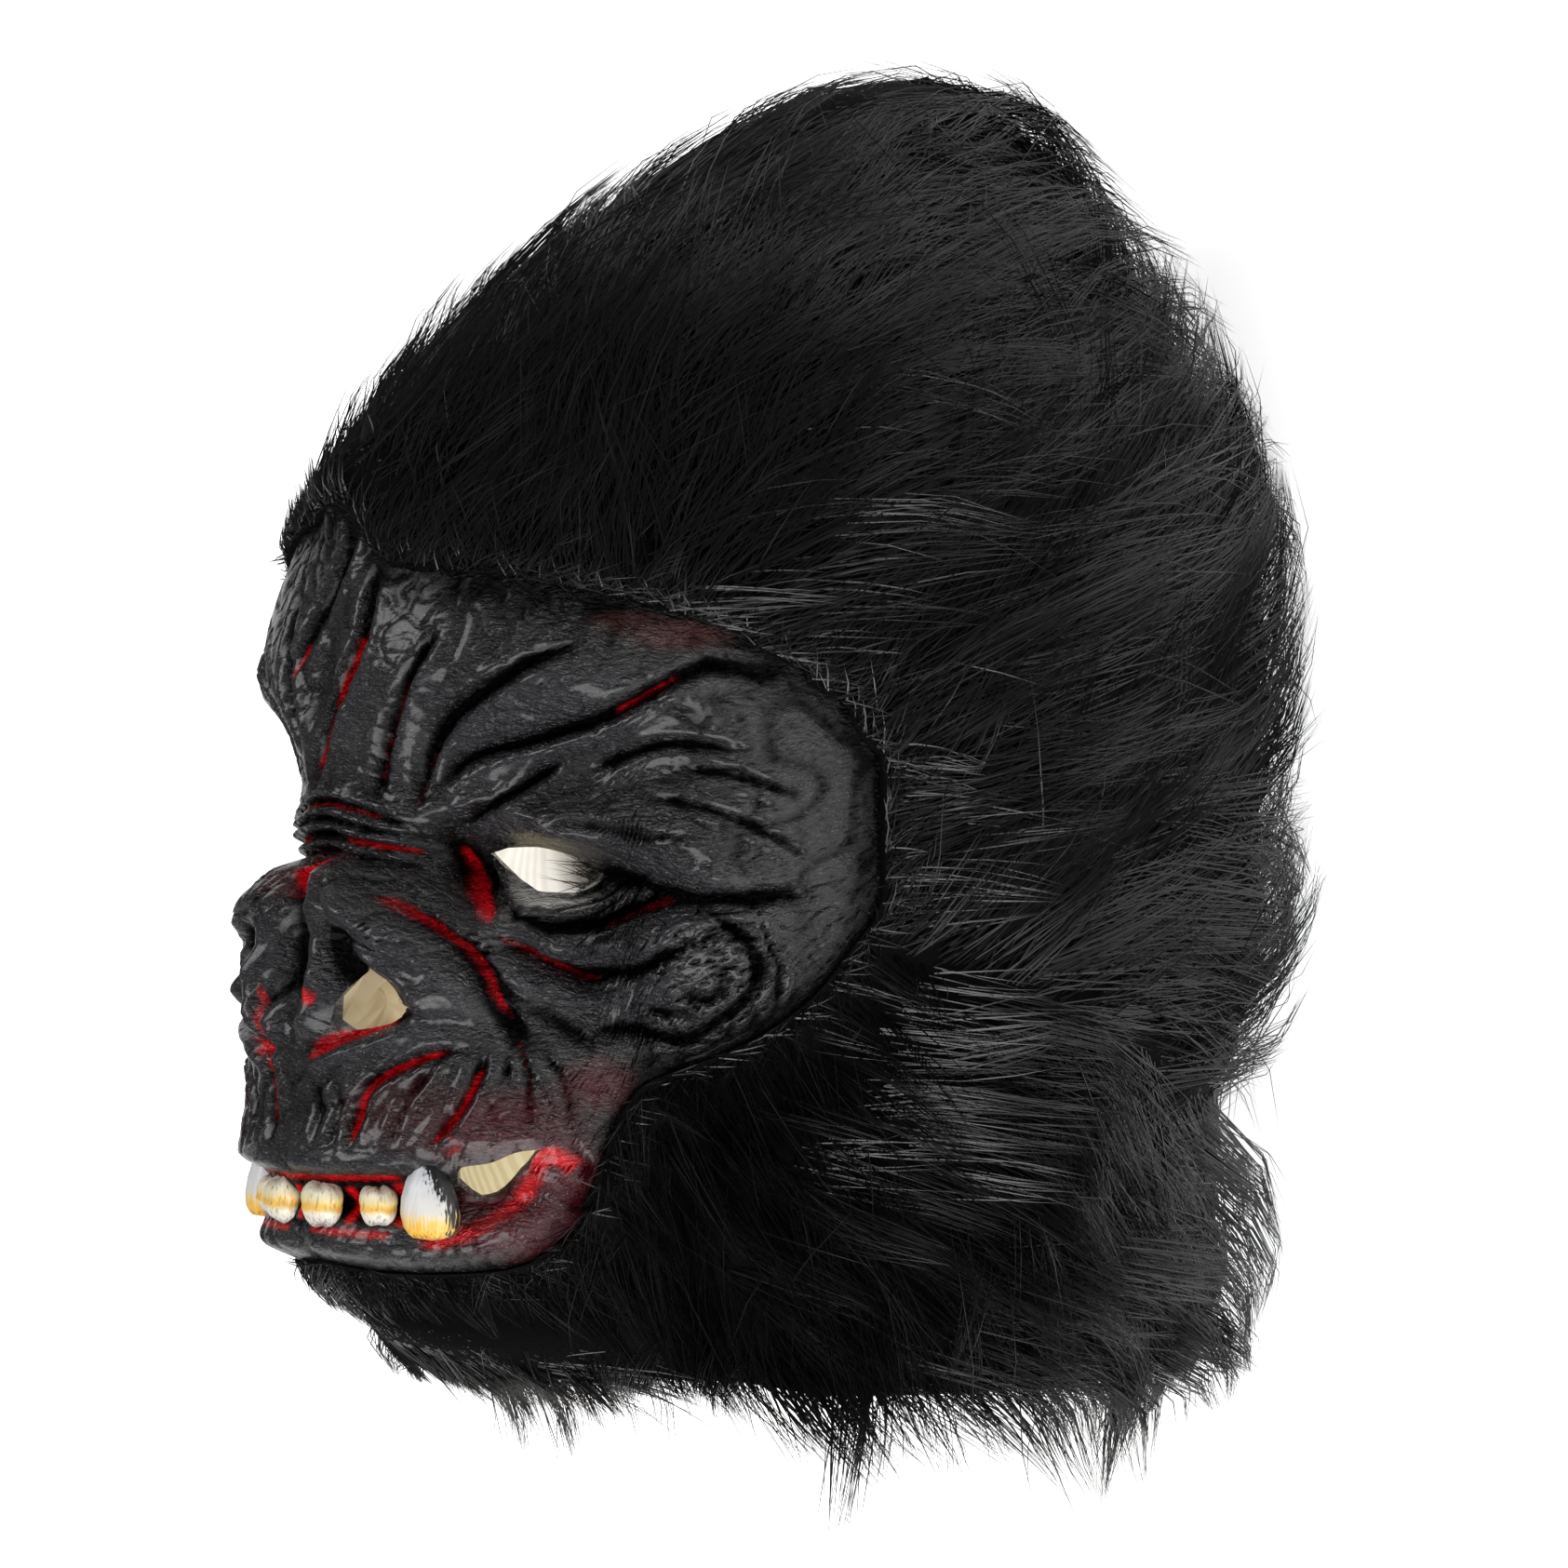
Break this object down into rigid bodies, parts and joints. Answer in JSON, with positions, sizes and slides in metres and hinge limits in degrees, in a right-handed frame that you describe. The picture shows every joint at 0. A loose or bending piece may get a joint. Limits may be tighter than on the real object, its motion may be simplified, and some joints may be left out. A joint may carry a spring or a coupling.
{
  "type": "gorilla mask",
  "caption": "Full-head gorilla mask: a cast latex face with eye holes and bared lower fangs, set in a hood of long black fur fabric.",
  "frame": {"origin": "centre of the bounding box in X and Y, on the plane that the back of the head rests on", "axes": "+X towards the wearer's left, +Y towards the crown, +Z the way the face looks"},
  "size_m": [0.2594, 0.3941, 0.329],
  "materials": {
    "latex": "satin",
    "fur": "long pile"
  },
  "bodies": {
    "root": {"latex_face": "latex", "crown_fur": "fur", "neck_fur": "fur"}
  },
  "joints": []
}
